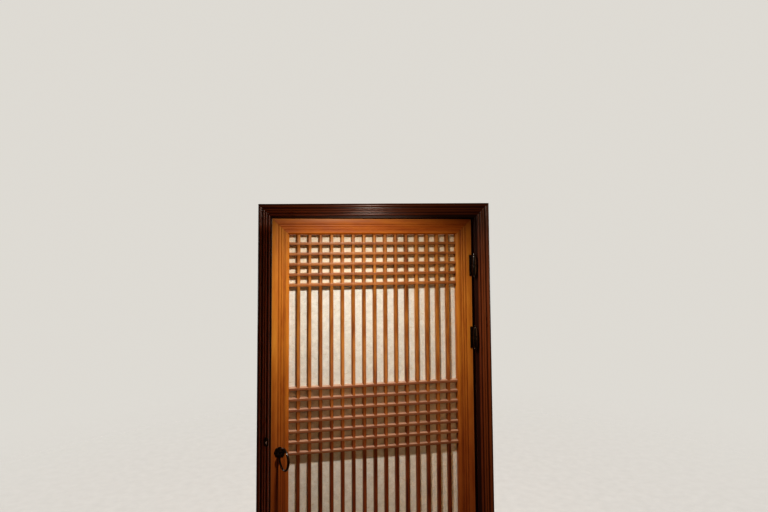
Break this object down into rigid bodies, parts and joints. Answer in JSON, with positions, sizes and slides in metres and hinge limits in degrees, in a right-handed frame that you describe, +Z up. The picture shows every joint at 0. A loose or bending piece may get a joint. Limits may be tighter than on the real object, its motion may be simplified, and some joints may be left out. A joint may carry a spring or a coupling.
{
  "type": "hanok lattice door in its frame",
  "caption": "Papered pine lattice door leaf with an iron ring pull, hinged on the right in a dark reeded timber frame, standing slightly ajar.",
  "frame": {"origin": "middle of the frame's underside, under the sill, where it is seated in the wall", "axes": "+X towards the hinge side seen from the front, +Y into the wall, +Z up; the front with the ring pull faces -Y"},
  "size_m": [0.994, 0.3217, 1.765],
  "materials": {
    "painted_wood": "dark brown gloss paint, worn at the edges",
    "varnished_pine": "orange-brown satin varnish",
    "mulberry_paper": "matt handmade paper with fine fibres",
    "black_iron": "forged, waxed black"
  },
  "bodies": {
    "frame": {"bottom_hinge_pintle": "black_iron", "head": "painted_wood", "head_stop": "painted_wood", "hinge_jamb": "painted_wood", "hinge_stop": "painted_wood", "latch_jamb": "painted_wood", "latch_keeper": "black_iron", "latch_stop": "painted_wood", "middle_hinge_pintle": "black_iron", "sill": "painted_wood", "sill_stop": "painted_wood", "top_hinge_pintle": "black_iron"},
    "leaf": {"bottom_hinge_socket": "black_iron", "bottom_rail": "varnished_pine", "hinge_stile": "varnished_pine", "latch_stile": "varnished_pine", "lattice": "varnished_pine", "middle_hinge_socket": "black_iron", "paper": "mulberry_paper", "rose_plate": "black_iron", "staple": "black_iron", "staple_washer": "black_iron", "top_hinge_socket": "black_iron", "top_rail": "varnished_pine"},
    "ring": {"ring": "black_iron"}
  },
  "joints": [
    {"name": "leaf_swing", "type": "hinge", "parent": "frame", "child": "leaf", "pos_m": [0.4265, -0.061, 0.8825], "axis": [0, 0, 1], "range_deg": [-9, 95]},
    {"name": "ring_swing", "type": "hinge", "parent": "leaf", "child": "ring", "pos_m": [-0.37885, -0.19564, 0.769], "axis": [0, 0, 1], "range_deg": [-100, 60]}
  ]
}
